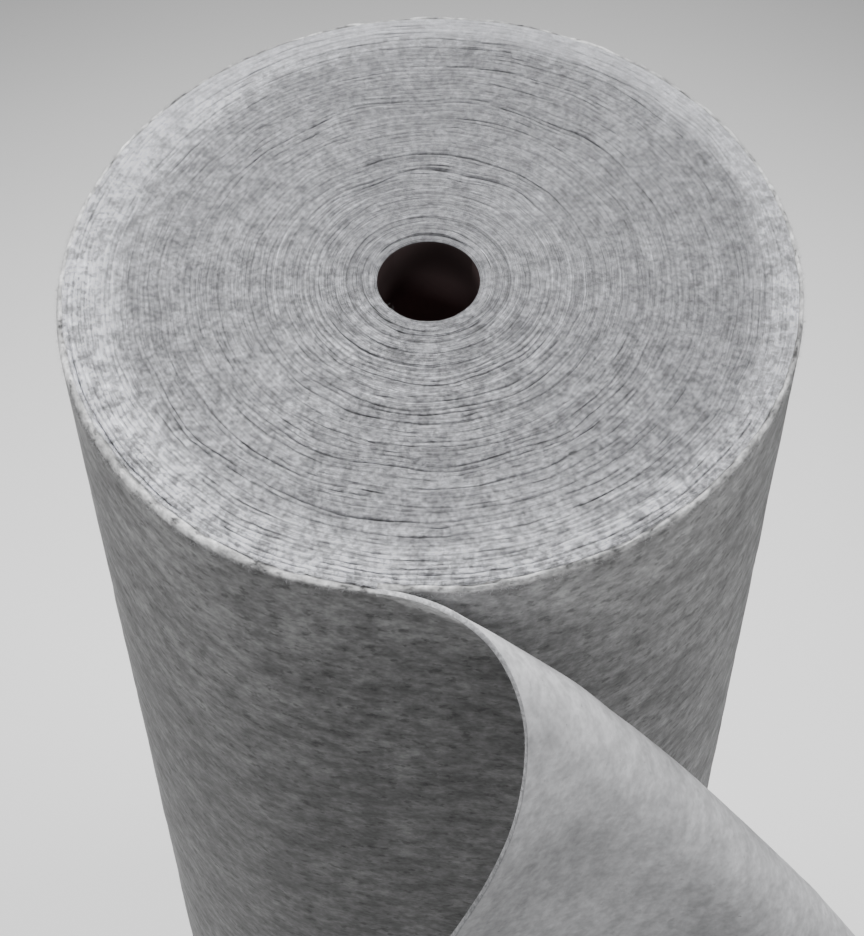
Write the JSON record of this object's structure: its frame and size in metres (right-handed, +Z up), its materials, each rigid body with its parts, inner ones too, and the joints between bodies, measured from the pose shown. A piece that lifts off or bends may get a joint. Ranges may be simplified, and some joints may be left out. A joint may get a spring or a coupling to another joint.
{
  "type": "roll of surface protection felt",
  "caption": "Tall upright roll of grey protection felt with a hole through it, its loose end leaving at a tangent and its upper corner curled over.",
  "frame": {"origin": "on the surface that the roll stands on, under the middle of the whole part's box; the roll's axis stands at x -0.0726, y 0.0587", "axes": "+Z up along the roll's axis, +X the way the loose end runs, -Y the side that it leaves the roll on"},
  "size_m": [0.503, 0.476, 1.0012],
  "materials": {
    "felt": "matt needled grey felt of recycled fibres with dark flecks"
  },
  "bodies": {
    "root": {"wound_roll": "felt", "loose_end": "felt"}
  },
  "joints": []
}
